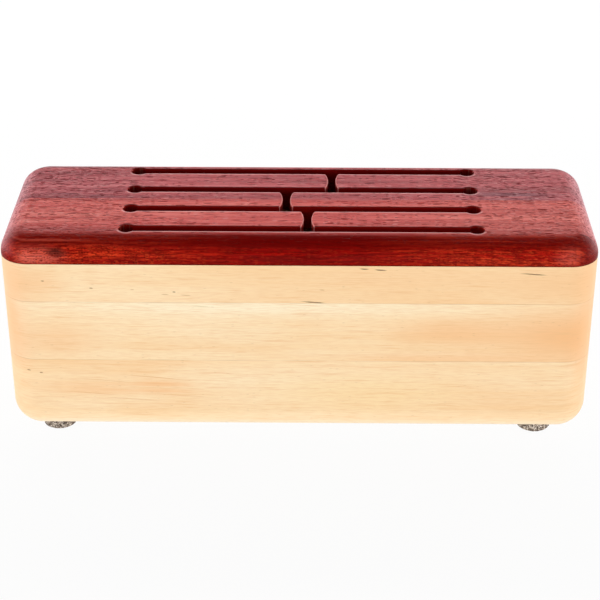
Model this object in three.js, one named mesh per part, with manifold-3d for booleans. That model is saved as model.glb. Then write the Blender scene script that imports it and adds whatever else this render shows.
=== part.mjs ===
// A box-shaped log drum: a beech box glued up from staves, a padouk sound plate of two boards with six
// tongues sawn into it, and four round feet. Millimetres, +Z up, X along the drum, the front facing -Y.
// The origin is on the surface that the feet stand on, under the middle of the drum.

import * as THREE from 'three';
import { mergeVertices } from 'three/addons/utils/BufferGeometryUtils.js';
import Module from 'manifold-3d';

const wasm = await Module();
wasm.setup();

// The outside of the glued-up drum, without its feet
const drumLength = 350;
const drumDepth = 115;
const wallHeight = 116;
const plateThickness = 15;
const uprightCornerRadius = 18;
const upperEdgeRadius = 14;
const lowerEdgeRadius = 17;
const leastCornerRadius = 0.5;

// The beech box
const wallThickness = 12;
const floorThickness = 12;
const lowerStaveHeight = 52;
const middleStaveHeight = 39.2;

// The slots: the rail is left between a side face and the outer slot, and the end block between an end
// face and the centre of the hole that ends a slot
const slotWidth = 6;
const slotHoleDiameter = 9.5;
const railWidth = 14.6;
const endBlockLength = 73;
const slotShift = 1.4;

// The tongues: a tip place is the middle of the gap between the two tips of a row, counted along X from
// the middle of the drum, and the crown is how far the middle of a tip stands out past its corners
const tipGap = 3.8;
const tipCrown = 2.7;
const backTipPlace = 19.4;
const middleTipPlace = -8.1;
const frontTipPlace = 4.9;
const rootClearance = 0.3;

// The feet, with their centres counted from the end faces and the side faces. They are stuck on by hand,
// and the front left one sits nearer the end than the others.
const footDiameter = 21;
const footThickness = 7;
const footEdgeRadius = 1.2;
const footEndInset = 29;
const frontLeftFootEndInset = 25.5;
const footSideInset = 24.5;

// How far a cutting tool runs past the face that it cuts
const overrun = 2;

// Steps in the round stretches
const cornerSteps = 6;
const edgeSteps = 6;
const tipSteps = 8;
const holeSides = 24;
const footSides = 32;
const footEdgeSteps = 3;

const padouk = { color: 0xb0504a, roughness: 0.55, metalness: 0 };
const padoukBack = { color: 0xa05a5e, roughness: 0.55, metalness: 0 };
const beech = { color: 0xf2cf9c, roughness: 0.5, metalness: 0 };
const cork = { color: 0x77706a, roughness: 0.95, metalness: 0 };

// What follows from the sizes above
const halfLength = drumLength / 2;
const halfDepth = drumDepth / 2;
const plateTop = wallHeight + plateThickness;
const middleStaveTop = lowerStaveHeight + middleStaveHeight;
const innerHalfLength = halfLength - wallThickness;
const innerHalfDepth = halfDepth - wallThickness;
const outerSlotPlace = halfDepth - railWidth - slotWidth / 2;
const slotPitch = 2 * outerSlotPlace / 3;
const leftRoot = slotShift - (halfLength - endBlockLength);
const rightRoot = slotShift + (halfLength - endBlockLength);

const rows = [
  { name: 'back', centre: slotPitch, tips: backTipPlace },
  { name: 'middle', centre: 0, tips: middleTipPlace },
  { name: 'front', centre: -slotPitch, tips: frontTipPlace },
];

const staves = [
  { name: 'lower_stave', low: 0, high: lowerStaveHeight },
  { name: 'middle_stave', low: lowerStaveHeight, high: middleStaveTop },
  { name: 'upper_stave', low: middleStaveTop, high: wallHeight },
];

// A closed geometry as a solid that can be cut
function solidFrom(geometry) {
  const bare = geometry.index ? geometry : geometry.clone();
  bare.deleteAttribute('normal');
  bare.deleteAttribute('uv');
  const merged = mergeVertices(bare);
  return new wasm.Manifold(new wasm.Mesh({
    numProp: 3,
    vertProperties: new Float32Array(merged.attributes.position.array),
    triVerts: new Uint32Array(merged.index.array),
  }));
}

function geometryFrom(solid) {
  const mesh = solid.getMesh();
  const geometry = new THREE.BufferGeometry();
  geometry.setAttribute('position', new THREE.BufferAttribute(mesh.vertProperties, 3));
  geometry.setIndex(new THREE.BufferAttribute(mesh.triVerts, 1));
  geometry.computeVertexNormals();
  return geometry;
}

// A plain block from its lowest to its highest corner
function block(low, high) {
  const size = new THREE.Vector3().subVectors(high, low);
  const centre = new THREE.Vector3().addVectors(low, high).divideScalar(2);
  const geometry = new THREE.BoxGeometry(size.x, size.y, size.z);
  geometry.translate(centre.x, centre.y, centre.z);
  return solidFrom(geometry);
}

// The heights at which the outside is drawn, each with how far the outline has moved in there
function outsideLevels() {
  const levels = [];
  for (let step = 0; step <= edgeSteps; step += 1) {
    const angle = step / edgeSteps * Math.PI / 2;
    levels.push({
      height: lowerEdgeRadius * (1 - Math.cos(angle)),
      inset: lowerEdgeRadius * (1 - Math.sin(angle)),
    });
  }
  for (let step = edgeSteps; step >= 0; step -= 1) {
    const angle = step / edgeSteps * Math.PI / 2;
    levels.push({
      height: plateTop - upperEdgeRadius * (1 - Math.cos(angle)),
      inset: upperEdgeRadius * (1 - Math.sin(angle)),
    });
  }
  return levels;
}

// The outline of the drum at one level, counterclockwise from the end of the front right corner
function outlineRing({ height, inset }) {
  const radius = Math.max(uprightCornerRadius - inset, leastCornerRadius);
  const across = halfLength - inset - radius;
  const deep = halfDepth - inset - radius;
  const corners = [[across, deep], [-across, deep], [-across, -deep], [across, -deep]];
  return corners.flatMap(([x, y], corner) => Array.from({ length: cornerSteps + 1 }, (_, step) => {
    const angle = (corner + step / cornerSteps) * Math.PI / 2;
    return new THREE.Vector3(x + radius * Math.cos(angle), y + radius * Math.sin(angle), height);
  }));
}

// The outside of the whole drum as one convex solid, from which every piece of wood is cut, so that
// the rounded corners and edges run on from piece to piece
function drumOutside() {
  const rings = outsideLevels().map(outlineRing);
  const count = rings[0].length;
  const points = rings.flat();
  const faces = [];
  for (let ring = 0; ring < rings.length - 1; ring += 1) {
    for (let side = 0; side < count; side += 1) {
      const next = (side + 1) % count;
      const low = ring * count;
      const high = low + count;
      faces.push(low + side, low + next, high + next);
      faces.push(low + side, high + next, high + side);
    }
  }
  const lastRing = (rings.length - 1) * count;
  for (let side = 1; side < count - 1; side += 1) {
    faces.push(0, side + 1, side);
    faces.push(lastRing, lastRing + side, lastRing + side + 1);
  }
  const geometry = new THREE.BufferGeometry().setFromPoints(points);
  geometry.setIndex(faces);
  return solidFrom(geometry);
}

const outside = drumOutside();

// The wood between two corners, with the outside's rounding where it reaches it
function wood(low, high) {
  return outside.intersect(block(low, high));
}

const rootHoles = [leftRoot, rightRoot].flatMap((x) => [-3, -1, 1, 3].map((step) => {
  const geometry = new THREE.CylinderGeometry(
    slotHoleDiameter / 2, slotHoleDiameter / 2, plateThickness + 2 * overrun, holeSides,
  );
  geometry.rotateX(Math.PI / 2);
  geometry.translate(x, step * slotPitch / 2, wallHeight + plateThickness / 2);
  return solidFrom(geometry);
}));

function withoutRootHoles(solid) {
  return rootHoles.reduce((rest, hole) => rest.subtract(hole), solid);
}

// One board of the sound plate, from the glue line at the middle to a side face
function topBoard(lowY, highY) {
  const slottedHalfDepth = outerSlotPlace + slotWidth / 2;
  const board = wood(
    new THREE.Vector3(-halfLength, lowY, wallHeight),
    new THREE.Vector3(halfLength, highY, plateTop),
  );
  const slotted = block(
    new THREE.Vector3(leftRoot, -slottedHalfDepth, wallHeight - overrun),
    new THREE.Vector3(rightRoot, slottedHalfDepth, plateTop + overrun),
  );
  return withoutRootHoles(board.subtract(slotted));
}

// The plan of one tongue, from its root to its crowned tip
function tonguePlan(row, root, direction) {
  const halfWidth = (slotPitch - slotWidth) / 2;
  const crownRadius = (halfWidth ** 2 + tipCrown ** 2) / (2 * tipCrown);
  const rootEnd = root + direction * rootClearance;
  const tip = row.tips - direction * tipGap / 2;
  const points = [new THREE.Vector2(rootEnd, row.centre - halfWidth)];
  for (let step = 0; step <= tipSteps; step += 1) {
    const across = (2 * step / tipSteps - 1) * halfWidth;
    const fall = crownRadius - Math.sqrt(crownRadius ** 2 - across ** 2);
    points.push(new THREE.Vector2(tip - direction * fall, row.centre + across));
  }
  points.push(new THREE.Vector2(rootEnd, row.centre + halfWidth));
  return new THREE.Shape(points);
}

// One tongue, or the strip of it that lies between two depths
function tongue(row, root, direction, lowY, highY) {
  const geometry = new THREE.ExtrudeGeometry(tonguePlan(row, root, direction), {
    depth: plateThickness, bevelEnabled: false,
  });
  geometry.translate(0, 0, wallHeight);
  const strip = wood(
    new THREE.Vector3(-halfLength, lowY, wallHeight),
    new THREE.Vector3(halfLength, highY, plateTop),
  );
  return withoutRootHoles(strip.intersect(solidFrom(geometry)));
}

function mesh(name, geometry, material) {
  const piece = new THREE.Mesh(geometry, new THREE.MeshStandardMaterial(material));
  piece.name = name;
  return piece;
}

// The six tongues: those of the middle row lie across the glue line, so each is two strips
function tongues() {
  const sides = [
    { name: 'left', root: leftRoot, direction: 1 },
    { name: 'right', root: rightRoot, direction: -1 },
  ];
  const pieces = [];
  for (const row of rows) {
    for (const { name, root, direction } of sides) {
      const add = (nodeName, lowY, highY, material) => {
        const solid = tongue(row, root, direction, lowY, highY);
        pieces.push(mesh(nodeName, geometryFrom(solid), material));
      };
      if (row.name === 'back') add(`tongue_back_${name}`, 0, halfDepth, padoukBack);
      if (row.name === 'middle') {
        add(`tongue_middle_${name}_back_strip`, 0, halfDepth, padoukBack);
        add(`tongue_middle_${name}_front_strip`, -halfDepth, 0, padouk);
      }
      if (row.name === 'front') add(`tongue_front_${name}`, -halfDepth, 0, padouk);
    }
  }
  return pieces;
}

function soundPlate() {
  return [
    mesh('top_board_back', geometryFrom(topBoard(0, halfDepth)), padoukBack),
    mesh('top_board_front', geometryFrom(topBoard(-halfDepth, 0)), padouk),
    ...tongues(),
  ];
}

// The long walls run the whole length, and the end walls stand between them
function walls() {
  const panels = [
    { name: 'front_wall', x: [-halfLength, halfLength], y: [-halfDepth, -innerHalfDepth] },
    { name: 'back_wall', x: [-halfLength, halfLength], y: [innerHalfDepth, halfDepth] },
    { name: 'left_end', x: [-halfLength, -innerHalfLength], y: [-innerHalfDepth, innerHalfDepth] },
    { name: 'right_end', x: [innerHalfLength, halfLength], y: [-innerHalfDepth, innerHalfDepth] },
  ];
  return panels.flatMap((panel) => staves.map((stave) => {
    const solid = wood(
      new THREE.Vector3(panel.x[0], panel.y[0], stave.low),
      new THREE.Vector3(panel.x[1], panel.y[1], stave.high),
    );
    return mesh(`${panel.name}_${stave.name}`, geometryFrom(solid), beech);
  }));
}

// The floor is two boards glued edge to edge, between the walls and flush with their lower edges
function floorBoards() {
  const boards = [
    { name: 'floor_board_back', lowY: 0, highY: innerHalfDepth },
    { name: 'floor_board_front', lowY: -innerHalfDepth, highY: 0 },
  ];
  return boards.map(({ name, lowY, highY }) => {
    const solid = wood(
      new THREE.Vector3(-innerHalfLength, lowY, 0),
      new THREE.Vector3(innerHalfLength, highY, floorThickness),
    );
    return mesh(name, geometryFrom(solid), beech);
  });
}

// A round foot with softened edges, its upper face glued to the floor
function footGeometry() {
  const radius = footDiameter / 2;
  const profile = [new THREE.Vector2(0, 0)];
  for (let step = 0; step <= footEdgeSteps; step += 1) {
    const angle = step / footEdgeSteps * Math.PI / 2;
    profile.push(new THREE.Vector2(
      radius - footEdgeRadius * (1 - Math.sin(angle)),
      footEdgeRadius * (1 - Math.cos(angle)),
    ));
  }
  profile.push(new THREE.Vector2(radius, footThickness), new THREE.Vector2(0, footThickness));
  const geometry = new THREE.LatheGeometry(profile, footSides);
  geometry.rotateX(Math.PI / 2);
  return geometryFrom(solidFrom(geometry));
}

function feet() {
  const places = [
    { name: 'foot_front_left', alongX: -1, alongY: -1, endInset: frontLeftFootEndInset },
    { name: 'foot_front_right', alongX: 1, alongY: -1, endInset: footEndInset },
    { name: 'foot_back_left', alongX: -1, alongY: 1, endInset: footEndInset },
    { name: 'foot_back_right', alongX: 1, alongY: 1, endInset: footEndInset },
  ];
  return places.map(({ name, alongX, alongY, endInset }) => {
    const foot = mesh(name, footGeometry(), cork);
    foot.position.set(alongX * (halfLength - endInset), alongY * (halfDepth - footSideInset), 0);
    return foot;
  });
}

const woodwork = new THREE.Group();
woodwork.position.z = footThickness;
woodwork.add(...soundPlate(), ...walls(), ...floorBoards());

const drum = new THREE.Group();
drum.add(woodwork, ...feet());

export default drum;
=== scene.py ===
import math

import bmesh
import bpy
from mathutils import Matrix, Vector, noise


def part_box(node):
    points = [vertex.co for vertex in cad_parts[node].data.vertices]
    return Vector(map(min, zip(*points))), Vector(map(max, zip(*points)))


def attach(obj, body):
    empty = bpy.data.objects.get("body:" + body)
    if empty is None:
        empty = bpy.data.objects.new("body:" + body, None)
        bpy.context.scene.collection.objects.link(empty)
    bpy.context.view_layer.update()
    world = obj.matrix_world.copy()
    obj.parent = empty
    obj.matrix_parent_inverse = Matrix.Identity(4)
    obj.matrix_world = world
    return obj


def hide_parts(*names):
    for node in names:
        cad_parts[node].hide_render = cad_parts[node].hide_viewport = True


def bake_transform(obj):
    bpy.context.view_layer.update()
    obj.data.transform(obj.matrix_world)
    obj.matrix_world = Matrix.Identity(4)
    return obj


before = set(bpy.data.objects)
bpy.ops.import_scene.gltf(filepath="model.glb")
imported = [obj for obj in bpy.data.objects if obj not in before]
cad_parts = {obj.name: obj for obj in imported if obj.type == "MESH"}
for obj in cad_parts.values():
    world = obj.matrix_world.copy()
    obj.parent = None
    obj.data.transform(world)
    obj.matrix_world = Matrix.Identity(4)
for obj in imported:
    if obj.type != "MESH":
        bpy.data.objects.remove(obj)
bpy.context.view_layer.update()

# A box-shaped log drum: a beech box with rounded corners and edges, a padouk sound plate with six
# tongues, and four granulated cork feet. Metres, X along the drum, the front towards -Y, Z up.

# Sizes that the frame's boxes don't give
CORNER_RADIUS = 0.018
UPPER_EDGE_RADIUS = 0.014
LOWER_EDGE_RADIUS = 0.017
LEAST_CORNER_RADIUS = 0.0005
SLOT_HOLE_RADIUS = 0.00475
ROOT_CLEARANCE = 0.0003
TIP_CORNER_RADIUS = 0.0013
TIP_CROWN = 0.0016
TIP_DRAWN_BACK = 0.0002
FOOT_EDGE_RADIUS = 0.0007

# The lumps on the feet: how deep they are, their scale per metre, and how steep they are
LUMP_DEPTH = 0.00035
LUMP_SCALE = 900
LUMP_GAIN = 1.6

# The rounding of the slots' and the tips' edges, as how far it draws back and how deep it reaches
SLOT_RIM = (0.0009, 0.00055)
TIP_RIM = (0.0012, 0.0011)
LOWER_RIM = (0.0004, 0.0004)

# How far the window's cutter overruns the plate, and how near a cut a point counts as on it
OVERRUN = 0.002
CUT_TOLERANCE = 1e-7

# How finely the round stretches are drawn, and the angle over which an edge stays sharp
CORNER_STEPS = 20
EDGE_STEPS = 18
RIM_STEPS = 7
HOLE_STEPS = 24
TIP_STEPS = 20
TIP_CORNER_STEPS = 8
FOOT_SIDES = 96
FOOT_EDGE_STEPS = 4
FOOT_SIDE_STEPS = 10
SHARP_ANGLE = math.radians(32)

# Sizes and places read from the frame
plate_low, plate_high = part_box("top_board_front")
floor_low, floor_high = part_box("floor_board_front")
wall_low, wall_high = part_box("front_wall_middle_stave")
_, end_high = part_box("left_end_middle_stave")
tongue_low, tongue_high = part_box("tongue_back_left")
HALF_LENGTH = plate_high[0]
HALF_DEPTH = -plate_low[1]
UNDERSIDE = floor_low[2]
FLOOR_TOP = floor_high[2]
PLATE_BASE = plate_low[2]
PLATE_TOP = plate_high[2]
LOWER_JOINT = wall_low[2]
UPPER_JOINT = wall_high[2]
INNER_HALF_LENGTH = -end_high[0]
INNER_HALF_DEPTH = end_high[1]

# The slots lie between the rows of tongues and on both outer sides of them
TONGUE_HALF_WIDTH = (tongue_high[1] - tongue_low[1]) / 2
ROW_PITCH = (tongue_high[1] + tongue_low[1]) / 2
SLOT_HALF_WIDTH = ROW_PITCH / 2 - TONGUE_HALF_WIDTH
OUTER_SLOT = 1.5 * ROW_PITCH
ROWS_HALF_DEPTH = OUTER_SLOT + ROW_PITCH / 2
LEFT_ROOT = tongue_low[0] - ROOT_CLEARANCE
RIGHT_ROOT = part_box("tongue_back_right")[1][0] + ROOT_CLEARANCE
SLOTS_MIDDLE = (LEFT_ROOT + RIGHT_ROOT) / 2
SLOTS_HALF_LENGTH = (RIGHT_ROOT - LEFT_ROOT) / 2

# The table: how far it reaches, and how much of its light is its own glow, for light and as seen
TABLE_REACH = 6.0
TABLE_GLOW = 0.7
TABLE_GLOW_SEEN = 0.95

# The world's strength, as a stretch of the direction's height and the strengths below and above
# it: what shows and what lights the drum, all round and from behind
OVERHEAD = 0.05
SHOWN_AROUND = (0.05, 0.35, 1.0, OVERHEAD)
SHOWN_BEHIND = (0.4, 0.75, 1.0, OVERHEAD)
LIT_AROUND = (0.2, 0.5, 1.5, OVERHEAD)
LIT_BEHIND = (0.2, 0.5, 0.35, OVERHEAD)

# The lamps: name, place, the point it faces, width, height, watts, and whether it shows in a sheen
LAMPS = (("back_softbox", (0.0, 1.25, 0.85), (0, 0, 0.1), 3.6, 0.9, 37, True),
         ("left_softbox", (-1.4, 0.3, 0.25), (0, 0, 0.1), 1.2, 0.4, 8, True),
         ("right_softbox", (1.4, 0.3, 0.25), (0, 0, 0.1), 1.2, 0.4, 8, True),
         ("front_softbox", (-0.1, -1.7, 0.2), (0, 0, 0.07), 2.2, 0.4, 9.6, False))

# The camera, as fitted to the photograph's outline
LENS = 98.75
CAMERA_PLACE = Vector((0.0105, -0.8977, 0.5673))
CAMERA_AIM = Vector((0.00014, 0.0, 0.0685))


def linear(*levels):
    """A colour given in display levels from 0 to 255, as Blender's linear values."""
    def one(level):
        share = level / 255
        return share / 12.92 if share <= 0.04045 else ((share + 0.055) / 1.055) ** 2.4
    return tuple(one(level) for level in levels) + (1.0,)


# Geometry of the wood

def quarter(steps):
    """Angles from 0 to a quarter turn, in equal steps."""
    return [step / steps * math.pi / 2 for step in range(steps + 1)]


def rounded(angle, reach, rise):
    """How far a rounded edge is still drawn back at an angle round it, and how far it has risen."""
    return reach * (1 - math.sin(angle)), rise * (1 - math.cos(angle))


def outside_levels():
    """The heights at which the drum's outside is drawn, each with how far the outline has moved in."""
    lower = [rounded(angle, LOWER_EDGE_RADIUS, LOWER_EDGE_RADIUS) for angle in quarter(EDGE_STEPS)]
    upper = [rounded(angle, UPPER_EDGE_RADIUS, UPPER_EDGE_RADIUS) for angle in quarter(EDGE_STEPS)]
    return ([(UNDERSIDE + rise, inset) for inset, rise in lower]
            + [(PLATE_TOP - drop, inset) for inset, drop in reversed(upper)])


def outside_ring(height, inset):
    """The drum's outline at one height."""
    radius = max(CORNER_RADIUS - inset, LEAST_CORNER_RADIUS)
    across = HALF_LENGTH - inset - radius
    deep = HALF_DEPTH - inset - radius
    corners = ((across, deep), (-across, deep), (-across, -deep), (across, -deep))
    ring = []
    for corner, (x, y) in enumerate(corners):
        for step in range(CORNER_STEPS + 1):
            angle = (corner + step / CORNER_STEPS) * math.pi / 2
            ring.append((x + radius * math.cos(angle), y + radius * math.sin(angle), height))
    return ring


def loft(rings):
    """A closed solid through rings of the same number of points, with flat ends."""
    bm = bmesh.new()
    loops = [[bm.verts.new(point) for point in ring] for ring in rings]
    for low, high in zip(loops, loops[1:]):
        for side in range(len(low)):
            after = (side + 1) % len(low)
            bm.faces.new((low[side], low[after], high[after], high[side]))
    bm.faces.new(reversed(loops[0]))
    bm.faces.new(loops[-1])
    return bm


def cut_away(bm, point, normal):
    """Cuts off what lies beyond a plane on the side of its normal, and closes the cut."""
    found = bmesh.ops.bisect_plane(
        bm, geom=bm.verts[:] + bm.edges[:] + bm.faces[:], dist=CUT_TOLERANCE,
        plane_co=point, plane_no=normal, clear_outer=True)
    edges = [item for item in found["geom_cut"]
             if isinstance(item, bmesh.types.BMEdge) and item.is_boundary]
    if edges:
        bmesh.ops.holes_fill(bm, edges=edges, sides=0)


def keep_board(bm, board):
    """Cuts off what lies beyond the glue line, seen from the front or the back board."""
    cut_away(bm, (0, 0, 0), (0, 1 if board == "front" else -1, 0))


def wood_block(low, high):
    """The part of the drum's outside solid between two corners, as one closed piece."""
    bm = loft([outside_ring(*level) for level in outside_levels()])
    for axis in range(3):
        normal = Vector((0, 0, 0))
        normal[axis] = 1
        cut_away(bm, high, normal)
        cut_away(bm, low, -normal)
    bmesh.ops.recalc_face_normals(bm, faces=bm.faces)
    return bm


def rim_levels():
    """Levels through the plate: the angle round the edge, and whether it is the upper edge."""
    angles = quarter(RIM_STEPS)
    return [(angle, False) for angle in angles] + [(angle, True) for angle in reversed(angles)]


def rim_place(level, rim):
    """How far a level has drawn back, and its height, where the upper edge has this rim."""
    angle, upper = level
    drawn_back, depth = rounded(angle, *(rim if upper else LOWER_RIM))
    return drawn_back, (PLATE_TOP - depth if upper else PLATE_BASE + depth)


def arc(x, y, radius, start, end, steps, flip=1):
    """Points of an arc from start to end, with X mirrored about the centre where flip is -1."""
    angles = [start + (end - start) * step / steps for step in range(steps + 1)]
    return [(x + flip * radius * math.cos(angle), y + radius * math.sin(angle)) for angle in angles]


def junction_angle(grow):
    """Where a slot's side meets its end hole, as an angle at the hole's centre from the slot's line."""
    return math.asin((SLOT_HALF_WIDTH + grow) / (SLOT_HOLE_RADIUS + grow))


def window_outline(grow):
    """The opening that the tongues fill, with half of each end hole bulging out past the roots."""
    radius = SLOT_HOLE_RADIUS + grow
    open_angle = math.pi - junction_angle(grow)
    places = [-OUTER_SLOT, -ROW_PITCH / 2, ROW_PITCH / 2, OUTER_SLOT]
    right, left = [], []
    for place in places:
        start = -open_angle if place == places[0] else -math.pi / 2
        end = open_angle if place == places[-1] else math.pi / 2
        right += arc(RIGHT_ROOT, place, radius, start, end, HOLE_STEPS)
        left = arc(LEFT_ROOT, place, radius, end, start, HOLE_STEPS, flip=-1) + left
    return right + left


def window_cutter():
    """The solid that cuts the window, wider where the slots' edges are rounded."""
    levels = [rim_place(level, SLOT_RIM) for level in rim_levels()]
    levels = [(levels[0][0], PLATE_BASE - OVERRUN), *levels, (levels[-1][0], PLATE_TOP + OVERRUN)]
    bm = loft([[(x, y, height) for x, y in window_outline(grow)] for grow, height in levels])
    bmesh.ops.recalc_face_normals(bm, faces=bm.faces)
    return bm


def blended_rim(share):
    """The rim on the way from a slot's side, at 0, to the tip, at 1."""
    return tuple(side + (tip - side) * share for side, tip in zip(SLOT_RIM, TIP_RIM))


def tongue_ring(root, tip, centre, direction, level):
    """One level of a tongue: root, hole arc, side, rounded corner, crowned tip, and back again."""
    crown = (TONGUE_HALF_WIDTH ** 2 + TIP_CROWN ** 2) / (2 * TIP_CROWN)
    crown_centre = tip - direction * (TIP_DRAWN_BACK + crown)
    corner_across = TONGUE_HALF_WIDTH - TIP_CORNER_RADIUS
    corner_along = math.sqrt((crown - TIP_CORNER_RADIUS) ** 2 - corner_across ** 2)
    corner_x = crown_centre + direction * corner_along
    tangent = math.atan2(corner_across, corner_along)
    inset, height = rim_place(level, SLOT_RIM)
    hole = SLOT_HOLE_RADIUS + inset
    junction = junction_angle(inset)

    def hole_arc(side, start, end):
        points = arc(root, centre + side * ROW_PITCH / 2, hole, start, end, HOLE_STEPS // 2, direction)
        return [(x, y, height) for x, y in points]

    def corner_arc(side, start, end, from_share, to_share):
        points = []
        for step in range(TIP_CORNER_STEPS + 1):
            share = step / TIP_CORNER_STEPS
            angle = start + (end - start) * share
            drawn, at = rim_place(level, blended_rim(from_share + (to_share - from_share) * share))
            radius = TIP_CORNER_RADIUS - drawn
            points.append((corner_x + direction * radius * math.cos(angle),
                           centre + side * corner_across + radius * math.sin(angle), at))
        return points

    drawn, at = rim_place(level, TIP_RIM)
    crowned = arc(crown_centre, centre, crown - drawn, tangent, -tangent, TIP_STEPS, direction)[1:-1]
    return (hole_arc(1, -math.pi / 2, -junction)
            + corner_arc(1, math.pi / 2, tangent, 0, 1)
            + [(x, y, at) for x, y in crowned]
            + corner_arc(-1, -tangent, -math.pi / 2, 1, 0)
            + hole_arc(-1, junction, math.pi / 2))


def tongue_solid(root, tip, centre, direction):
    bm = loft([tongue_ring(root, tip, centre, direction, level) for level in rim_levels()])
    bmesh.ops.recalc_face_normals(bm, faces=bm.faces)
    return bm


# Pieces

def add_object(name, data):
    made = bpy.data.objects.new(name, data)
    bpy.context.scene.collection.objects.link(made)
    return made


def mesh_object(name, bm):
    mesh = bpy.data.meshes.new(name)
    bm.to_mesh(mesh)
    bm.free()
    return add_object(name, mesh)


def slotted_plate():
    """The whole plate without its tongues, cut by a Boolean modifier that is applied at once."""
    plate = mesh_object("slotted_plate", wood_block(
        (-HALF_LENGTH, -HALF_DEPTH, PLATE_BASE), (HALF_LENGTH, HALF_DEPTH, PLATE_TOP)))
    cutter = mesh_object("window_cutter", window_cutter())
    boolean = plate.modifiers.new("window", "BOOLEAN")
    boolean.operation = "DIFFERENCE"
    boolean.solver = "EXACT"
    boolean.object = cutter
    bpy.context.view_layer.update()
    evaluated = plate.evaluated_get(bpy.context.evaluated_depsgraph_get())
    bm = bmesh.new()
    bm.from_mesh(evaluated.to_mesh())
    evaluated.to_mesh_clear()
    for scratch in (plate, cutter):
        bpy.data.meshes.remove(scratch.data)
    return bm


def shade(piece):
    """Smooth shading that keeps flat faces flat and edges over the sharp angle sharp."""
    mesh = piece.data
    mesh.polygons.foreach_set("use_smooth", [True] * len(mesh.polygons))
    mesh.set_sharp_from_angle(angle=SHARP_ANGLE)
    weighted = piece.modifiers.new("weighted", "WEIGHTED_NORMAL")
    weighted.keep_sharp = True
    weighted.weight = 100


def finished(node, bm, material, slot, body):
    """A piece that takes a node's place. It rides a body, or has none yet where it is to bend."""
    piece = mesh_object(f"{node}_wood" if slot != "cork" else f"{node}_disc", bm)
    shade(piece)
    piece.data.materials.append(material)
    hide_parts(node)
    if body:
        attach(piece, body)
    return piece


# Node helpers

class Graph:
    """A node tree, with short calls for the nodes that the materials and the world use."""

    def __init__(self, tree):
        self.tree = tree

    def node(self, kind, inputs=None, **settings):
        made = self.tree.nodes.new("ShaderNode" + kind)
        for key, value in settings.items():
            setattr(made, key, value)
        for key, value in (inputs or {}).items():
            self.feed(made.inputs[key], value)
        return made

    def feed(self, socket, value):
        if isinstance(value, bpy.types.NodeSocket):
            self.tree.links.new(value, socket)
        else:
            socket.default_value = value

    def place(self):
        return self.node("TexCoord").outputs["Object"]

    def split(self, vector):
        return self.node("SeparateXYZ", {"Vector": vector}).outputs

    def combined(self, **parts):
        return self.node("CombineXYZ", parts).outputs["Vector"]

    def vector(self, operation, *values, output="Vector"):
        made = self.node("VectorMath", dict(enumerate(values)), operation=operation)
        return made.outputs[output]

    def length(self, vector):
        return self.vector("LENGTH", vector, output="Value")

    def stretched(self, place, scale, shift=(0, 0, 0)):
        """The place times a scale per axis, plus a shift."""
        return self.vector("MULTIPLY_ADD", place, scale, shift)

    def noise(self, place, detail=2, roughness=0.5, output="Fac"):
        made = self.node("TexNoise", {"Vector": place, "Scale": 1, "Detail": detail,
                                      "Roughness": roughness})
        return made.outputs[output]

    def cells(self, place):
        """Distance to the nearest cell centre, and a random number from 0 to 1 that the cell has."""
        made = self.node("TexVoronoi", {"Vector": place, "Scale": 1, "Randomness": 1})
        random = self.node("SeparateColor", {"Color": made.outputs["Color"]})
        return made.outputs["Distance"], random.outputs["Red"]

    def math(self, operation, *values):
        return self.node("Math", dict(enumerate(values)), operation=operation).outputs[0]

    def times(self, product, *values):
        for value in values:
            product = self.math("MULTIPLY", product, value)
        return product

    def minus(self, value, other):
        return self.math("SUBTRACT", value, other)

    def larger(self, value, other):
        return self.math("MAXIMUM", value, other)

    def size(self, value):
        return self.math("ABSOLUTE", value)

    def spread(self, value, low, high, to_low=0, to_high=1):
        """A value's stretch from low to high, as a smooth step from to_low to to_high."""
        made = self.node("MapRange", {"Value": value, "From Min": low, "From Max": high,
                                      "To Min": to_low, "To Max": to_high},
                         interpolation_type="SMOOTHSTEP")
        return made.outputs["Result"]

    def fade(self, value, low, high, to_low=1):
        """A smooth step from to_low, below the stretch from low to high, down to 0 above it."""
        return self.spread(value, low, high, to_low, 0)

    def ramp(self, value, stops):
        made = self.node("ValToRGB", {"Fac": value})
        elements = made.color_ramp.elements
        while len(elements) < len(stops):
            elements.new(0.5)
        for element, (position, colour) in zip(elements, stops):
            element.position = position
            element.color = colour
        return made.outputs["Color"]

    def mix(self, share, first, second):
        """The first colour at a share of 0, the second at 1."""
        made = self.node("Mix", {"Factor": share, "A": first, "B": second}, data_type="RGBA")
        return made.outputs["Result"]

    def layers(self, colour, *tones):
        """A colour with tones laid over it in turn, each given as its share and the tone."""
        for share, tone in tones:
            colour = self.mix(share, colour, tone)
        return colour

    def bump(self, height, strength, distance):
        made = self.node("Bump", {"Height": height, "Strength": strength, "Distance": distance})
        return made.outputs["Normal"]


class Material(Graph):
    """A material with one Principled shader."""

    def __init__(self, name):
        self.material = bpy.data.materials.new(name)
        self.material.use_nodes = True
        super().__init__(self.material.node_tree)
        self.tree.nodes.clear()
        self.output = self.node("OutputMaterial")
        self.shader = self.node("BsdfPrincipled")
        self.feed(self.output.inputs["Surface"], self.shader.outputs["BSDF"])

    def set(self, **inputs):
        for key, value in inputs.items():
            self.feed(self.shader.inputs[key.replace("_", " ")], value)


class Wood(Material):
    """A wood's material, with its place, plain and made wavy along the grain, and the X, Y and Z of
    the plain place and of the surface's direction."""

    def __init__(self, name, grain, waves, seed):
        super().__init__(name)
        self.plain = self.place()
        self.axes = self.split(self.plain)
        self.x, self.y, self.z = self.axes
        self.facing = self.split(self.node("NewGeometry").outputs["Normal"])
        self.wavy = self.plain
        for wave in waves:
            self.wavy = pushed_about(self, self.wavy, grain, *wave, seed)


def along_grain(grain, along, across, depth_axis=None, depth=0):
    """A scale or a reach per axis, where the fibres run along the axis grain."""
    sizes = [across, across, across]
    sizes[grain] = along
    if depth_axis is not None:
        sizes[depth_axis] = depth
    return tuple(sizes)


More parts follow.
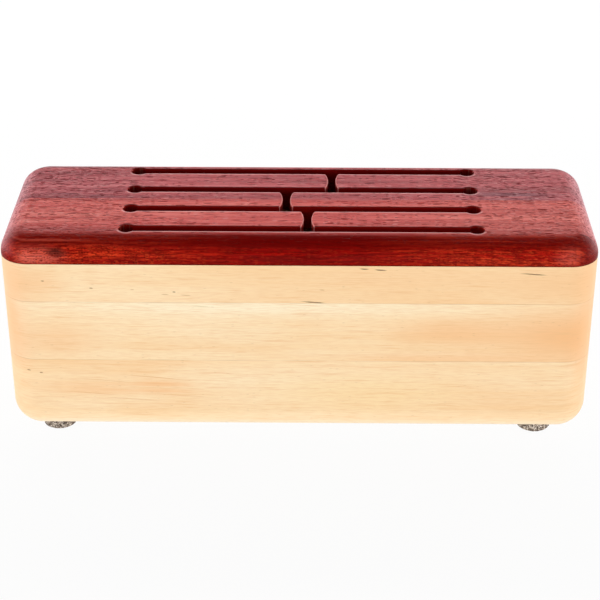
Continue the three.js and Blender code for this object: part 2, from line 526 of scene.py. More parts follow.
def pushed_about(graph, place, grain, along, across, drift, seed):
    """The place with its two cross-grain coordinates pushed about slowly along the grain."""
    stretch = along_grain(grain, along, across)
    slow = graph.noise(graph.stretched(place, stretch, seed), 1, output="Color")
    centred = graph.vector("SUBTRACT", slow, (0.5, 0.5, 0.5))
    return graph.stretched(centred, along_grain(grain, 0, drift), place)


def patch(graph, place, centre, reach, edge):
    """1 inside an ellipsoid at a centre with a reach per axis, falling to 0 at its surface over the
    share edge of its reach."""
    scale = [1 / size for size in reach]
    shift = [-middle / size for middle, size in zip(centre, reach)]
    return graph.fade(graph.length(graph.stretched(place, scale, shift)), 1 - edge, 1)


# Padouk

# Each board's dark, middle and light tone, its pores, and the walls that the saw left. The board
# tones' pink cast is partly the wood's own and partly painted sheen; the walls' tone is vivid like
# fresh-cut padouk and painted brighter still to lift the shade in the slots.
FRONT_BOARD = (linear(172, 40, 34), linear(213, 72, 64), linear(234, 114, 102),
               linear(118, 1, 0), linear(255, 30, 14))
BACK_BOARD = (linear(142, 36, 46), linear(184, 64, 72), linear(206, 96, 100),
              linear(86, 2, 6), linear(206, 14, 10))

# Tones of both boards
ROSY_MIDDLE = linear(255, 90, 86)
# A painted sheen for the roundings of the plate's ends and back.
EDGE_SHEEN = linear(214, 172, 180)
GLINT = linear(250, 178, 172)
# A darker tone for the cut walls that face the back, which are left without the painted brightening.
SHADED_WALL = linear(110, 6, 5)
# Pale strokes in the holes: the drill's marks with painted glints on them.
DRILL_GLINT = linear(255, 176, 150)
HOLE_END = linear(84, 5, 5)
# Painted shade for the slots' far edges.
FAR_RIM_SHADE = linear(80, 4, 4)
# A painted highlight on the slots' near edges.
RIM_HIGHLIGHT = linear(246, 180, 178)
# Painted shade for the tongues' ends and a painted highlight for the edges of their tips.
TIP_FACE_SHADE = linear(104, 12, 10)
TIP_EDGE_HIGHLIGHT = linear(222, 152, 146)
SEAM = linear(84, 5, 2)

# Tones of the front board's rounding, from dark to light where there are two
# The ends' tones are lighter in part from painted sheen; the brow's and the foot's tones are painted
# shade.
EDGE_MIDDLE = (linear(128, 1, 0), linear(166, 5, 1))
EDGE_ENDS = (linear(182, 18, 8), linear(226, 62, 30))
EDGE_BROW_SHADE = (linear(108, 3, 2), linear(156, 34, 22))
EDGE_LINE = linear(94, 1, 0)
EDGE_FOOT_SHADE = linear(92, 2, 1)
# Painted orange glints on the rounding.
EDGE_GLINT = linear(226, 78, 38)
EDGE_DOT = linear(64, 4, 2)
BEHIND_EDGE = linear(150, 18, 12)
# Painted sheen near the rounding's corners.
CORNER_SHEEN = linear(250, 130, 112)
KNOT = linear(70, 26, 22)

# Tones of the back board's marks
GREY_VIOLET = linear(84, 40, 60)
BACK_EDGE = linear(112, 14, 20)

# Scales of the patterns per metre, along X, Y and Z
BANDS = (2.5, 150, 150)
FIBRES = (70, 800, 800)
PORE_CROWDS = (10, 110, 110)
DRILL_GLINT_SCALE = (800, 800, 60)
EDGE_STREAKS = (9, 620, 620)
EDGE_LINES = (90, 900, 900)
GREY_STREAKS = (14, 420, 420)

# The waves in the grain: their scales per metre along and across it, and how far they push it
PADOUK_WAVES = ((9, 30, 0.006), (90, 200, 0.0008))
BEECH_WAVES = ((6, 30, 0.004), (50, 120, 0.0006))
FLECK_WAVES = (300, 700, 0.0004)

# Scales of the cells that hold a mark each. A third of 0 is for the unrolled surface.
LONG_PORES, SHORT_PORES, END_PORES = (110, 620, 0), (260, 900, 0), (420, 760, 760)
GLINT_CELLS, END_GLINT_CELLS = (170, 740, 0), (500, 820, 820)
DOTS, EDGE_GLINT_CELLS = (640, 1300, 0), (330, 900, 0)

# A mark's reach in its cell, the share of it that is solid, and the painted glints' shift from
# the dark pores
PORE_REACH, END_REACH, DOT_REACH, EDGE_GLINT_REACH = 0.36, 0.5, 0.5, 0.48
SOLID_SHARE = 0.7
GLINT_SHIFT = 0.37

# Listed marks on the front rounding: scratches as height, share and tone, painted shade at the
# corners as side, share and tone, painted sheen as X, height, reach along and share, dotted parts as
# centre, reach, edge and share, and the knot as centre, reach and edge
SCRATCHES = ((0.1357, 0.4, linear(214, 92, 76)), (0.1348, 0.6, linear(96, 4, 1)))
CORNER_SHADES = ((1, 0.8, linear(104, 12, 10)), (-1, 0.45, linear(130, 16, 6)))
CORNER_SHEEN_PLACES = ((-0.154, 0.1274, 0.026, 0.6), (0.157, 0.1285, 0.014, 0.35))
DOTTED = (((-0.122, -0.055, 0.128), (0.062, 0.02, 0.0075), 0.4, 0.8),
          ((0.12, -0.055, 0.1275), (0.07, 0.02, 0.0085), 0.5, 0.6))
KNOT_PATCH = ((-0.1402, -0.055, 0.1301), (0.0085, 0.02, 0.0032), 0.8)

# The back board's grey streaks, as centre, reach and edge
GREY_PATCHES = (((-0.128, 0.006, 0.138), (0.04, 0.012, 0.02), 0.9),
                ((0.128, 0.008, 0.138), (0.045, 0.012, 0.02), 0.9))


def padouk(name, dark, middle, light, pore, wall, seed, marks):
    """One board of the plate: its figure, its listed marks, its pores, painted sheen and glints, and
    the faces cut into it.
    """
    wood = Wood(name, 0, PADOUK_WAVES, seed)
    bands = wood.noise(wood.stretched(wood.wavy, BANDS, seed), 3, 0.6)
    fibres = wood.noise(wood.stretched(wood.wavy, FIBRES, seed), 3, 0.65)
    colour = wood.layers(
        wood.ramp(bands, [(0.36, dark), (0.5, middle), (0.64, light)]),
        (wood.spread(fibres, 0.45, 0.65, 0, 0.6), dark),
        (wood.spread(wood.x, 0.03, 0.12, 0, 0.34), light),
        (wood.fade(wood.size(wood.x), 0.08, 0.12, 0.12), ROSY_MIDDLE))
    edge = side_rounding(wood)
    pores, glints = pores_and_glints(wood, seed)
    pores = wood.times(pores, wood.spread(edge, 0, 1, 0.8, 0.6))
    # The roundings of the ends and back take a painted sheen.
    colour = wood.layers(
        marks(wood, edge, colour), (edge_sheen_share(wood), EDGE_SHEEN),
        (wood.times(glints, wood.fade(edge, 0, 0.4, 0.24)), GLINT), (pores, pore))
    seam = wood.fade(wood.z, PLATE_BASE + 0.0003, PLATE_BASE + 0.001, 0.7)
    colour = wood.mix(seam, cut_faces(wood, colour, wall, seed), SEAM)
    height = wood.minus(wood.times(fibres, 0.6), pores)
    roughness = wood.larger(wood.spread(fibres, 0.35, 0.65, 0.26, 0.46), wood.times(pores, 0.95))
    wood.set(Base_Color=colour, Roughness=roughness, Normal=wood.bump(height, 1, 0.0004),
             Specular_IOR_Level=0.045, Specular_Tint=(1, 0.5, 0.45, 1))
    return wood.material


def side_rounding(wood):
    """1 on the rounded outside along the plate's front and back, 0 on the rest."""
    lowered = wood.spread(wood.z, PLATE_TOP - 0.00003, PLATE_TOP - 0.0007)
    aside = wood.math("GREATER_THAN", wood.size(wood.y), HALF_DEPTH - UPPER_EDGE_RADIUS)
    return wood.times(lowered, aside)


def edge_sheen_share(wood):
    """A share of painted sheen for the roundings of the plate's ends and back, where they face up."""
    aside = wood.size(wood.x)
    ends = wood.spread(aside, HALF_LENGTH - 0.013, HALF_LENGTH, 0, 0.6)
    back = wood.times(wood.spread(wood.y, HALF_DEPTH - UPPER_EDGE_RADIUS, HALF_DEPTH - 0.0085),
                      wood.spread(aside, 0.09, 0.14, 0.15, 0.65))
    upward = wood.spread(wood.facing["Z"], 0.1, 0.35)
    round_corner = wood.spread(wood.x, -0.1, 0.1, 0.3, 0.04)
    behind_front = wood.spread(wood.y, -0.052, -0.036, round_corner, 1)
    return wood.times(wood.larger(ends, back), upward, behind_front)


def short_marks(wood, place, scale, seed, reach, chance):
    """1 near the centres of the cells that chance picks, 0 between them."""
    distance, random = wood.cells(wood.stretched(place, scale, seed))
    return wood.times(wood.fade(distance, reach * SOLID_SHARE, reach), wood.fade(random, 0, chance))


def unrolled(wood):
    """The place laid flat over the long edges, so that marks keep their size on the rounding."""
    axes = wood.split(wood.wavy)
    return wood.combined(X=axes["X"], Y=wood.minus(wood.size(axes["Y"]), axes["Z"]))


def pores_and_glints(wood, seed):
    """Short dark dashes along the grain, in two sizes, crowded in places and towards both ends, and
    pale ones among them as painted glints. On the ends themselves they are dots."""
    place, flat = wood.wavy, unrolled(wood)
    crowd = wood.noise(wood.stretched(place, PORE_CROWDS, seed), 1)
    towards_end = wood.spread(wood.size(wood.x), 0.06, 0.12, 0, 0.8)
    chance = wood.math("ADD", wood.spread(crowd, 0.3, 0.7, 0.15, 0.85), towards_end)
    behind_front = wood.spread(wood.split(place)["Y"], -0.052, -0.04)
    at_end = wood.times(wood.spread(wood.size(wood.facing["X"]), 0.12, 0.4), behind_front)
    off_end = wood.minus(1, at_end)

    def dashes_or_dots(dashes, dots):
        return wood.larger(wood.times(dashes, off_end), wood.times(dots, at_end))

    dark = wood.larger(short_marks(wood, flat, LONG_PORES, seed, PORE_REACH, chance),
                       short_marks(wood, flat, SHORT_PORES, seed, PORE_REACH, chance))
    dark = dashes_or_dots(dark, short_marks(wood, place, END_PORES, seed, END_REACH, chance))
    beside = tuple(value + GLINT_SHIFT for value in seed)
    pale = dashes_or_dots(short_marks(wood, flat, GLINT_CELLS, beside, PORE_REACH, chance),
                          short_marks(wood, place, END_GLINT_CELLS, beside, END_REACH, chance))
    return dark, pale


def slot_distance(wood, from_middle):
    """Distance from the nearest slot's outline, seen from above: less than 0 inside the slot, and
    the shares for the slot's near side and its far side."""
    past_hole = wood.minus(from_middle, SLOTS_HALF_LENGTH)
    in_row = wood.math("MODULO", wood.math("ADD", wood.y, ROWS_HALF_DEPTH), ROW_PITCH)
    across = wood.minus(in_row, ROW_PITCH / 2)
    straight = wood.larger(wood.minus(wood.size(across), SLOT_HALF_WIDTH), past_hole)
    from_hole = wood.minus(wood.length(wood.combined(X=past_hole, Y=across)), SLOT_HOLE_RADIUS)
    distance = wood.math("MINIMUM", straight, from_hole)
    return distance, wood.fade(across, -0.0032, -0.0018), wood.spread(across, 0.0018, 0.0032)


def within(wood, half_depth):
    """1 up to this far from the glue line, 0 beyond it."""
    return wood.math("LESS_THAN", wood.size(wood.y), half_depth)


def cut_faces(wood, colour, wall, seed):
    """The colour with the walls of the slots and holes, the slots' edges, and the tongues' tips,
    with painted light and shade on them.
    """
    from_middle = wood.size(wood.minus(wood.x, SLOTS_MIDDLE))
    slotted = slot_distance(wood, from_middle)
    drilled = wood.spread(from_middle, SLOTS_HALF_LENGTH - 0.0028, SLOTS_HALF_LENGTH - 0.001)
    # Pale vertical strokes in the holes: drill marks with painted glints.
    glint_strokes = wood.noise(wood.stretched(wood.plain, DRILL_GLINT_SCALE, seed), 1)
    glint_strokes = wood.times(wood.spread(glint_strokes, 0.52, 0.66, 0, 0.6), drilled)
    outermost = wood.times(drilled, wood.spread(wood.size(wood.facing["X"]), 0.7, 0.95))
    # Walls facing the front keep the wall's tone, painted brighter to lift the shade in the slots;
    # walls facing the back take a darker tone without that painted light.
    wall_tones = wood.layers(wall, (wood.spread(wood.facing["Y"], -0.3, 0.1, 0, 0.8), SHADED_WALL),
                        (glint_strokes, DRILL_GLINT), (outermost, HOLE_END))
    tip_shade, tip_highlights = tip_shade_and_highlights(wood, from_middle)
    return wood.layers(colour, (cut_walls(wood, slotted), wall_tones), (far_rim_shade(wood, slotted), FAR_RIM_SHADE),
                       (near_rim_highlights(wood, slotted), RIM_HIGHLIGHT), (tip_shade, TIP_FACE_SHADE),
                       (tip_highlights, TIP_EDGE_HIGHLIGHT))


def cut_walls(wood, slotted):
    """A share for the upright faces that the saw and the drill left, which take the walls' tones with
    their painted light.
    """
    distance, _, _ = slotted
    inside = wood.math("LESS_THAN", distance, 0.0035)
    upright = wood.fade(wood.size(wood.facing["Z"]), 0.6, 0.99, 0.9)
    return wood.times(inside, within(wood, ROWS_HALF_DEPTH), upright)


def far_rim_shade(wood, slotted):
    """A share of painted shade for the rounded far edges of the slots, as dark as the walls under them.
    """
    distance, _, far_side = slotted
    return wood.times(wood.spread(distance, -0.0004, 0), wood.fade(distance, 0.0007, 0.0013, 0.85),
                      far_side, within(wood, ROWS_HALF_DEPTH))


def near_rim_highlights(wood, slotted):
    """A share of painted highlight for the near edges of the slots, where they face up."""
    distance, near_side, _ = slotted
    band = wood.times(wood.spread(distance, -0.0004, 0, 0, 0.6), wood.fade(distance, 0.001, 0.002))
    upward = wood.times(wood.spread(wood.facing["Z"], 0.05, 0.25),
                        wood.spread(wood.size(wood.facing["X"]), 0.15, 0.5, 1, 0.2))
    return wood.times(band, near_side, within(wood, OUTER_SLOT + ROW_PITCH / 3), upward)


def tip_shade_and_highlights(wood, from_middle):
    """A share of painted shade for the ends of the tongues, and one of painted highlight for the
    rounded edges and corners of their tips."""
    inner = wood.math("LESS_THAN", from_middle, SLOTS_HALF_LENGTH - 2 * SLOT_HOLE_RADIUS)
    tip = wood.times(within(wood, OUTER_SLOT), inner)
    sideways = wood.size(wood.facing["X"])
    face = wood.spread(sideways, 0.72, 0.95, 0, 0.8)
    highlit = wood.times(wood.spread(sideways, 0.25, 0.5), wood.fade(sideways, 0.78, 0.93, 0.6))
    return wood.times(tip, face), wood.times(tip, highlit)


def front_edge_red(wood, tone, ends, fine, brow):
    """The front rounding's red: darkest in its upper half, as painted shade, and in the middle; lighter
    towards both ends, in part from painted sheen; with orange streaks, and painted shade at its foot.
    """
    # Painted shade at both corners of the rounding.
    corners = [(wood.spread(wood.times(wood.x, side), 0.159, 0.168, 0, share), tint)
               for side, share, tint in CORNER_SHADES]
    return wood.layers(
        wood.mix(ends, wood.mix(tone, *EDGE_MIDDLE), wood.mix(tone, *EDGE_ENDS)),
        (wood.spread(fine, 0.45, 0.6, 0, 0.65), EDGE_LINE),
        (brow, wood.mix(wood.times(tone, ends), *EDGE_BROW_SHADE)),
        (wood.fade(wood.z, PLATE_BASE + 0.001, PLATE_BASE + 0.008, 0.45), EDGE_FOOT_SHADE),
        *corners)


def front_board_marks(wood, edge, colour):
    """The rounding's own red, with scratches, painted sheen near the corners, painted orange glints, a
    knot and dark dots. The wood just behind it is deeper red too."""
    aside = wood.size(wood.x)
    ends = wood.spread(aside, 0.02, 0.125)
    streaks = wood.noise(wood.stretched(wood.wavy, EDGE_STREAKS, (4.4, 1.7, 9.2)), 3, 0.65)
    fine = wood.noise(wood.stretched(wood.wavy, EDGE_LINES, (6.1, 2.4, 8.3)), 2, 0.6)
    tone = wood.spread(streaks, 0.4, 0.62)
    # The rounding's upper half, darkened as painted shade.
    brow = wood.spread(wood.z, PLATE_TOP - 0.007, PLATE_TOP - 0.003, 0, 0.75)
    drawn_back = wood.minus(wood.y, wood.spread(aside, 0.08, 0.14, 0, 0.003))
    colour = wood.layers(colour, (wood.fade(drawn_back, -0.0445, -0.0365, 0.5), BEHIND_EDGE),
                         (wood.times(edge, 0.95), front_edge_red(wood, tone, ends, fine, brow)))
    for height, share, tint in SCRATCHES:
        line = patch(wood, wood.plain, (-0.148, -0.05, height), (0.034, 0.02, 0.0007), 0.8)
        colour = wood.mix(wood.times(line, share), colour, tint)
    inboard = wood.fade(aside, 0.158, 0.168)
    # Painted sheen on the rounding near both corners.
    for x, height, reach, share in CORNER_SHEEN_PLACES:
        highlit = patch(wood, wood.plain, (x, -0.0535, height), (reach, 0.02, 0.0085), 1)
        uneven = wood.spread(streaks, 0.3, 0.6, 0.6 * share, share)
        colour = wood.mix(wood.times(highlit, inboard, uneven), colour, CORNER_SHEEN)
    flat = unrolled(wood)
    # Painted orange glints, fewer where the brow is in painted shade.
    edge_glints = short_marks(wood, flat, EDGE_GLINT_CELLS, (8.1, 1.9, 0.7), EDGE_GLINT_REACH, 0.9)
    edge_glints = wood.times(edge_glints, edge, wood.spread(ends, 0, 1, 0.1, 0.45), inboard,
                        wood.spread(brow, 0, 0.5, 1, 0.25))
    knot = wood.times(patch(wood, wood.plain, *KNOT_PATCH), wood.spread(fine, 0.3, 0.6, 0.7, 1))
    dots = short_marks(wood, flat, DOTS, (2.2, 6.1, 0.7), DOT_REACH, 1)
    dotted = wood.larger(*(wood.times(patch(wood, wood.plain, centre, reach, rim), share)
                           for centre, reach, rim, share in DOTTED))
    return wood.layers(colour, (edge_glints, EDGE_GLINT), (knot, KNOT), (wood.times(dots, dotted), EDGE_DOT))


def back_board_marks(wood, edge, colour):
    """Grey-violet streaks beside the glue line at both ends, and a deeper tone on the rounding."""
    streaks = wood.noise(wood.stretched(wood.wavy, GREY_STREAKS, (7.4, 3.7, 1.2)))
    ends = wood.larger(*(patch(wood, wood.plain, *grey) for grey in GREY_PATCHES))
    grey = wood.times(ends, wood.spread(streaks, 0.42, 0.56), 0.6)
    return wood.layers(colour, (grey, GREY_VIOLET), (wood.times(edge, 0.3), BACK_EDGE))


# Beech

PALE = linear(250, 236, 204)
WARM = linear(241, 184, 128)
PINK = linear(240, 188, 144)
YELLOW = linear(247, 213, 154)
ORANGE = linear(243, 199, 146)
LIGHT_CLOUD = linear(250, 229, 192)
HAIRLINE = linear(233, 184, 132)
FIBRE = linear(233, 186, 136)
PORE_FLECK = linear(180, 138, 96)
END_GRAIN = linear(244, 196, 148)
GLUE = linear(176, 124, 84)

# Scales of the patterns per metre, along the grain and across it, and the second's share in depth
RINGS, CLOUDS, TIDES = (2.5, 260), (10, 55), (5, 34)
HAIRLINES, BEECH_FIBRES, FLECKS = (40, 1100), (130, 1700), (260, 1500)
DEPTH_SHARE = 0.12
FEATHERS = (9, 420, 420)

# How near a joint's height the glue line is full and has gone, and the scale of its uneven strength
GLUE_LINE = (0.0001, 0.00035)
GLUE_PATCHES = (30, 30, 0)

# How far the flecks on the front fall per metre to the right, and how deep they and the broad
# changes of tone reach
FLECK_FALL = 0.07
FLECK_DEPTH = 0.01
TONE_DEPTH = 0.05

# The staves from below: name, bottom and top, then the figure's pale, deep and warm tones
STAVES = (("lower_stave", UNDERSIDE, LOWER_JOINT,
           linear(249, 221, 180), linear(246, 211, 163), ORANGE),
          ("middle_stave", LOWER_JOINT, UPPER_JOINT,
           linear(249, 223, 183), linear(246, 213, 166), linear(243, 203, 152)),
          ("upper_stave", UPPER_JOINT, PLATE_BASE,
           linear(248, 221, 179), linear(246, 210, 162), linear(243, 198, 146)))
FLOOR_TONES = (linear(251, 221, 176), linear(246, 208, 156), linear(240, 190, 134))


def beech(name, pale, deep, warm, seed, grain=0, depth_axis=1, marks=None):
    """The grain is the axis along which the fibres run: 0 for the long walls, 1 for the end walls. The
    figure changes slowly along the depth axis, so that it runs on round the corners."""
    wood = Wood(name, grain, BEECH_WAVES, seed)

    def scaled(along, across):
        scale = along_grain(grain, along, across, depth_axis, across * DEPTH_SHARE)
        return wood.stretched(wood.wavy, scale, seed)

    rings = wood.noise(scaled(*RINGS), 4, 0.62)
    tides, clouds = wood.noise(scaled(*TIDES)), wood.noise(scaled(*CLOUDS))
    hairlines = wood.noise(scaled(*HAIRLINES), 3, 0.6)
    fibres = wood.noise(scaled(*BEECH_FIBRES), 1)
    reach = HALF_LENGTH if grain == 0 else INNER_HALF_DEPTH
    corner = wood.times(wood.spread(wood.size(wood.axes[grain]), reach - 0.022, reach),
                        wood.spread(wood.z, LOWER_JOINT - 0.012, LOWER_JOINT + 0.004, 0.1, 0.8))
    colour = wood.layers(
        wood.ramp(rings, [(0.32, pale), (0.68, deep)]), (wood.fade(tides, 0.35, 0.6, 0.4), LIGHT_CLOUD),
        (wood.spread(clouds, 0.5, 0.75, 0, 0.6), warm), (corner, PINK))
    if marks:
        colour = marks(wood, colour)
    distance, random = wood.cells(scaled(*FLECKS))
    flecks = wood.times(wood.fade(distance, 0.15, 0.32), wood.spread(random, 0.9, 1), 0.35)
    # The lower rounding is painted paler, as painted light thrown up from the white table.
    colour = wood.layers(
        colour, (wood.spread(hairlines, 0.54, 0.7, 0, 0.5), HAIRLINE),
        (wood.fade(wood.z, UNDERSIDE + 0.002, UNDERSIDE + 0.014, 0.6), PALE),
        (wood.spread(fibres, 0.4, 0.65, 0, 0.26), FIBRE), (flecks, PORE_FLECK),
        (wood.spread(wood.size(wood.facing[grain]), 0.35, 1, 0, 0.5), END_GRAIN),
        (glue_lines(wood), GLUE))
    wood.set(Base_Color=colour, Roughness=wood.spread(hairlines, 0.3, 0.8, 0.4, 0.5),
             Normal=wood.bump(hairlines, 0.12, 0.0002), Specular_IOR_Level=0.3)
    return wood.material


def glue_lines(wood):
    """A thin brownish line at each joint between staves, stronger in places."""
    uneven = wood.noise(wood.stretched(wood.wavy, GLUE_PATCHES))
    lines = wood.larger(*(wood.fade(wood.size(wood.minus(wood.z, joint)), *GLUE_LINE)
                          for joint in (LOWER_JOINT, UPPER_JOINT)))
    return wood.times(lines, wood.spread(uneven, 0.3, 0.75, 0.05, 0.45))


def flecks_at(wood, colour, places, tone, share, place=None):
    """Dark flecks, listed, falling a little to the right. Each has X, height, half its length and
    half its thickness."""
    place = place or wood.plain
    lift = wood.combined(Z=wood.times(wood.split(place)["X"], FLECK_FALL))
    ragged = pushed_about(wood, wood.vector("ADD", place, lift), 0, *FLECK_WAVES, (1.5, 2.5, 3.5))
    found = 0
    for x, height, half_length, half_thickness in places:
        centre = (x, -HALF_DEPTH, height + FLECK_FALL * x)
        fleck = patch(wood, ragged, centre, (half_length, FLECK_DEPTH, half_thickness), 0.6)
        found = wood.larger(found, fleck)
    return wood.mix(wood.times(found, share), colour, tone)


def soft_tones(wood, colour, places):
    """Broad changes of tone, listed one by one. Each has X, height, reach along and up, share and tone.
    """
    for x, height, along, up, share, tone in places:
        found = patch(wood, wood.wavy, (x, -HALF_DEPTH, height), (along, TONE_DEPTH, up), 0.95)
        colour = wood.mix(wood.times(found, share), colour, tone)
    return colour


def upper_stave_marks(wood, colour):
    """Warmer wood to the right and at both ends, four long dark streaks, and flecks and dashes."""
    warm = wood.spread(wood.x, -0.1, 0, 0, 0.45)
    colour = soft_tones(wood, wood.mix(warm, colour, ORANGE), (
        (-0.156, 0.11, 0.03, 0.016, 0.5, WARM), (0.165, 0.112, 0.075, 0.02, 0.4, WARM),
        (0.07, 0.114, 0.09, 0.014, 0.2, WARM)))
    streaks = ((0.038, 0.1211, 0.0034, 0.0005), (0.0475, 0.1205, 0.0044, 0.0005),
               (0.136, 0.1182, 0.0092, 0.0005), (0.0085, 0.0989, 0.0088, 0.00045))
    dashes = ((-0.078, 0.1036, 0.003, 0.0004), (-0.066, 0.1031, 0.004, 0.0004),
              (-0.097, 0.1068, 0.0016, 0.0004), (0.0137, 0.1072, 0.002, 0.0004))
    flecks = ((-0.149, 0.1121, 0.0012, 0.0005), (-0.121, 0.1075, 0.0014, 0.0006),
              (-0.0727, 0.1052, 0.0012, 0.0006))
    colour = flecks_at(wood, colour, streaks, linear(84, 66, 30), 0.95)
    colour = flecks_at(wood, colour, dashes, linear(190, 140, 90), 0.6)
    return flecks_at(wood, colour, flecks, linear(122, 82, 46), 0.7)


def middle_stave_marks(wood, colour):
    """Pale along its upper edge and in the middle, warmer at both ends, with one faint streak."""
    colour = soft_tones(wood, colour, (
        (-0.03, 0.0982, 0.19, 0.016, 0.9, PALE), (-0.04, 0.078, 0.06, 0.014, 0.3, PALE),
        (-0.145, 0.072, 0.04, 0.018, 0.45, WARM), (0.165, 0.077, 0.09, 0.03, 0.9, WARM),
        (0.09, 0.079, 0.055, 0.016, 0.6, WARM), (0.09, 0.061, 0.1, 0.009, 0.5, WARM),
        (-0.174, 0.085, 0.011, 0.03, 0.6, WARM)))
    streak = ((-0.057, 0.0957, 0.008, 0.0003),)
    return flecks_at(wood, colour, streak, linear(190, 170, 110), 0.5)


def lower_stave_marks(wood, colour):
    """A feathered warm blotch at the left with fine lines through it, and two short dark flecks."""
    blotch = patch(wood, wood.wavy, (-0.085, -HALF_DEPTH, 0.0405), (0.034, 0.03, 0.0085), 0.95)
    tail = patch(wood, wood.wavy, (-0.12, -HALF_DEPTH, 0.0385), (0.055, 0.03, 0.009), 0.95)
    feathered = wood.noise(wood.stretched(wood.wavy, FEATHERS, (6.2, 2.8, 4.1)))
    share = wood.times(wood.larger(wood.times(blotch, 0.85), wood.times(tail, 0.6)),
                       wood.spread(feathered, 0.3, 0.65, 0.35, 1))
    colour = soft_tones(wood, colour, (
        (0, 0.047, 0.12, 0.02, 0.2, PALE), (0.13, 0.03, 0.06, 0.02, 0.2, WARM),
        (0.04, 0.037, 0.09, 0.02, 0.5, YELLOW), (0.172, 0.052, 0.011, 0.02, 0.4, WARM)))
    colour = wood.mix(share, colour, WARM)
    lines = ((-0.086, 0.0468, 0.026, 0.0004), (-0.1, 0.0315, 0.024, 0.0004),
             (-0.125, 0.0355, 0.022, 0.0003), (-0.115, 0.044, 0.02, 0.0003),
             (-0.07, 0.0345, 0.02, 0.0003))
    colour = flecks_at(wood, colour, lines, linear(216, 160, 106), 0.5, wood.wavy)
    flecks = ((-0.1618, 0.0512, 0.0016, 0.0005), (-0.1544, 0.0498, 0.0013, 0.0005))
    return flecks_at(wood, colour, flecks, linear(112, 62, 30), 0.85)


# Cork

GRANULES = (1500, 1500, 1500)
GRANULE_TONES = [(0.1, linear(62, 52, 48)), (0.45, linear(120, 108, 98)),
                 (0.75, linear(165, 152, 140)), (0.95, linear(222, 212, 200))]


def cork(name):
    graph = Material(name)
    distance, random = graph.cells(graph.stretched(graph.place(), GRANULES))
    graph.set(Base_Color=graph.ramp(random, GRANULE_TONES), Roughness=0.95,
              Normal=graph.bump(distance, 0.6, 0.0006), Specular_IOR_Level=0.15)
    return graph.material


# The drum

def make_plate():
    boards = {"front": padouk("padouk_front", *FRONT_BOARD, (3.1, 7.7, 1.3), front_board_marks),
              "back": padouk("padouk_back", *BACK_BOARD, (11.4, 2.9, 5.8), back_board_marks)}
    for board, material in boards.items():
        bm = slotted_plate()
        keep_board(bm, board)
        finished(f"top_board_{board}", bm, material, f"padouk_{board}", "drum_box")
    for row, centre in (("back", ROW_PITCH), ("middle", 0.0), ("front", -ROW_PITCH)):
        for side, root, direction in (("left", LEFT_ROOT, 1), ("right", RIGHT_ROOT, -1)):
            make_tongue(row, centre, side, root, direction, boards)


def make_tongue(row, centre, side, root, direction, boards):
    """One tongue, which gets no body here. Those of the middle row are two glued strips each."""
    if row == "middle":
        strips = [(f"tongue_middle_{side}_{board}_strip", board) for board in ("front", "back")]
    else:
        strips = [(f"tongue_{row}_{side}", row)]
    low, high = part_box(strips[0][0])
    tip = high[0] if direction > 0 else low[0]
    for node, board in strips:
        bm = tongue_solid(root, tip, centre, direction)
        if row == "middle":
            keep_board(bm, board)
        piece = finished(node, bm, boards[board], f"padouk_{board}", None)
        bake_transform(piece)


def make_walls():
    """Four panels of three staves each. The long walls run over the full length."""
    end, inner_end = HALF_LENGTH, INNER_HALF_LENGTH
    side, inner_side = HALF_DEPTH, INNER_HALF_DEPTH
    panels = (("front_wall", (-end, -side), (end, -inner_side), 0),
              ("back_wall", (-end, inner_side), (end, side), 0),
              ("left_end", (-end, -inner_side), (-inner_end, inner_side), 1),
              ("right_end", (inner_end, -inner_side), (end, inner_side), 1))
    front_marks = (lower_stave_marks, middle_stave_marks, upper_stave_marks)
    for place, (panel, low, high, grain) in enumerate(panels):
        for count, (stave, bottom, top, *tones) in enumerate(STAVES):
            seed = (2.3 * place + 5.1 * count, 7.9 * count + place, 3.7 * place + 1.9 * count)
            marks = front_marks[count] if panel == "front_wall" else None
            material = beech(f"beech_{panel}_{stave}", *tones, seed, grain, 1 - grain, marks)
            bm = wood_block((*low, bottom), (*high, top))
            finished(f"{panel}_{stave}", bm, material, "beech", "drum_box")


def make_floor_boards():
    for node, low, high, seed in (("floor_board_front", -INNER_HALF_DEPTH, 0.0, (4.4, 8.1, 2.2)),
                                  ("floor_board_back", 0.0, INNER_HALF_DEPTH, (9.6, 3.3, 6.5))):
        material = beech(f"beech_{node}", *FLOOR_TONES, seed, depth_axis=2)
        bm = wood_block((-INNER_HALF_LENGTH, low, UNDERSIDE), (INNER_HALF_LENGTH, high, FLOOR_TOP))
        finished(node, bm, material, "beech", "drum_box")


def foot_disc(low, high, seed):
    """A disc of pressed granules: its side and lower edge are slightly lumpy, never past the CAD's."""
    centre = (low + high) / 2
    radius = (high[0] - low[0]) / 2
    side_height = high[2] - low[2] - FOOT_EDGE_RADIUS
    edge = [rounded(angle, FOOT_EDGE_RADIUS, FOOT_EDGE_RADIUS) for angle in quarter(FOOT_EDGE_STEPS)]
    profile = [(radius - inset, rise) for inset, rise in edge]
    profile += [(radius, FOOT_EDGE_RADIUS + side_height * step / FOOT_SIDE_STEPS)
                for step in range(1, FOOT_SIDE_STEPS + 1)]
    rings = []
    for reach, height in profile:
        ring = []
        for side in range(FOOT_SIDES):
            angle = side / FOOT_SIDES * 2 * math.pi
            point = Vector((reach * math.cos(angle), reach * math.sin(angle), height))
            lump = noise.noise(point * LUMP_SCALE + Vector((seed, 0, 0))) * LUMP_GAIN
            share = 1 - LUMP_DEPTH / radius * (0.5 + 0.5 * max(-1, min(1, lump)))
            ring.append((centre[0] + point.x * share, centre[1] + point.y * share, low[2] + height))
        rings.append(ring)
    return loft(rings)


def make_feet():
    material = cork("cork_granules")
    for count, node in enumerate(("foot_front_left", "foot_front_right",
                                  "foot_back_left", "foot_back_right")):
        low, high = (Vector(corner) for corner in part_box(node))
        finished(node, foot_disc(low, high, 17.3 * count), material, "cork", "drum_box")


# Surroundings

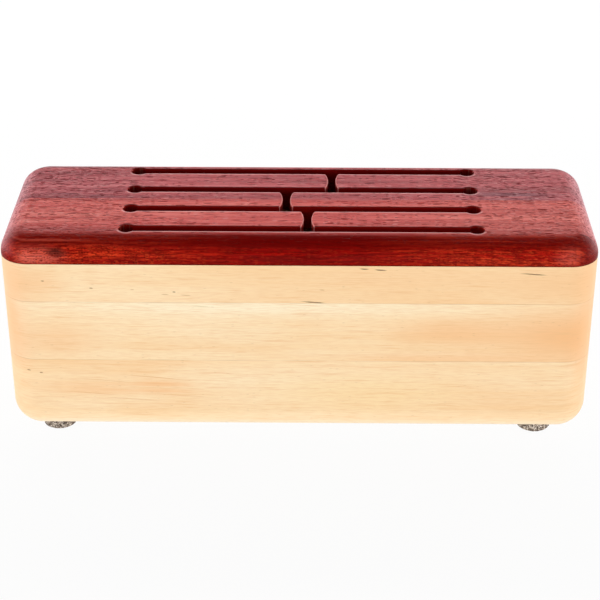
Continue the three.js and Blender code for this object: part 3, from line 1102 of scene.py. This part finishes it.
def seen_rays(graph):
    """1 for the rays that show a background: camera, glossy and transmission rays."""
    rays = graph.node("LightPath").outputs
    return graph.larger(graph.larger(rays["Is Camera Ray"], rays["Is Glossy Ray"]),
                        rays["Is Transmission Ray"])


def make_table():
    """A lit white table: it glows for every ray, a little more for the rays that show it."""
    bm = bmesh.new()
    bmesh.ops.create_grid(bm, x_segments=1, y_segments=1, size=TABLE_REACH)
    table = mesh_object("studio_floor", bm)
    graph = Material("studio_floor")
    graph.set(Base_Color=(0.9, 0.9, 0.9, 1), Roughness=0.9, Specular_IOR_Level=0.1)
    glow = graph.node("Emission", {"Color": (1, 1, 1, 1), "Strength": 1})
    share = graph.spread(seen_rays(graph), 0, 1, TABLE_GLOW, TABLE_GLOW_SEEN)
    blend = graph.node("MixShader", {
        "Fac": share, 1: graph.shader.outputs["BSDF"], 2: glow.outputs["Emission"]})
    graph.feed(graph.output.inputs["Surface"], blend.outputs["Shader"])
    table.data.materials.append(graph.material)


def make_world():
    """White low down all round, and dim overhead. Behind the drum it shows white further up, for the
    sheen on the plate, but lights less, because the lamp there lights enough."""
    world = bpy.data.worlds.new("studio")
    world.use_nodes = True
    bpy.context.scene.world = world
    graph = Graph(world.node_tree)
    direction = graph.split(graph.node("TexCoord").outputs["Generated"])
    shown = graph.spread(direction["Y"], 0.0, 0.4, graph.spread(direction["Z"], *SHOWN_AROUND),
                         graph.spread(direction["Z"], *SHOWN_BEHIND))
    lit = graph.spread(direction["Y"], 0.2, 0.7, graph.spread(direction["Z"], *LIT_AROUND),
                       graph.spread(direction["Z"], *LIT_BEHIND))
    background = graph.tree.nodes["Background"].inputs
    graph.feed(background["Strength"], graph.spread(seen_rays(graph), 0, 1, lit, shown))
    graph.feed(background["Color"], (1, 1, 1, 1))


def turned(place, aim):
    """The rotation that looks from a place to a point."""
    return (Vector(aim) - Vector(place)).to_track_quat("-Z", "Y").to_euler()


def make_lamp(name, place, aim, width, height, power, glossy):
    data = bpy.data.lights.new(name, "AREA")
    data.shape = "RECTANGLE"
    data.size = width
    data.size_y = height
    data.energy = power
    lamp = add_object(name, data)
    lamp.location = place
    lamp.rotation_euler = turned(place, aim)
    lamp.visible_glossy = glossy


def make_camera():
    data = bpy.data.cameras.new("camera")
    data.lens = LENS
    camera = add_object("camera", data)
    camera.location = CAMERA_PLACE
    camera.rotation_euler = turned(CAMERA_PLACE, CAMERA_AIM)
    bpy.context.scene.camera = camera


make_plate()
make_walls()
make_floor_boards()
make_feet()
make_table()
make_world()
for lamp in LAMPS:
    make_lamp(*lamp)
make_camera()
bpy.context.scene.view_settings.view_transform = "Standard"
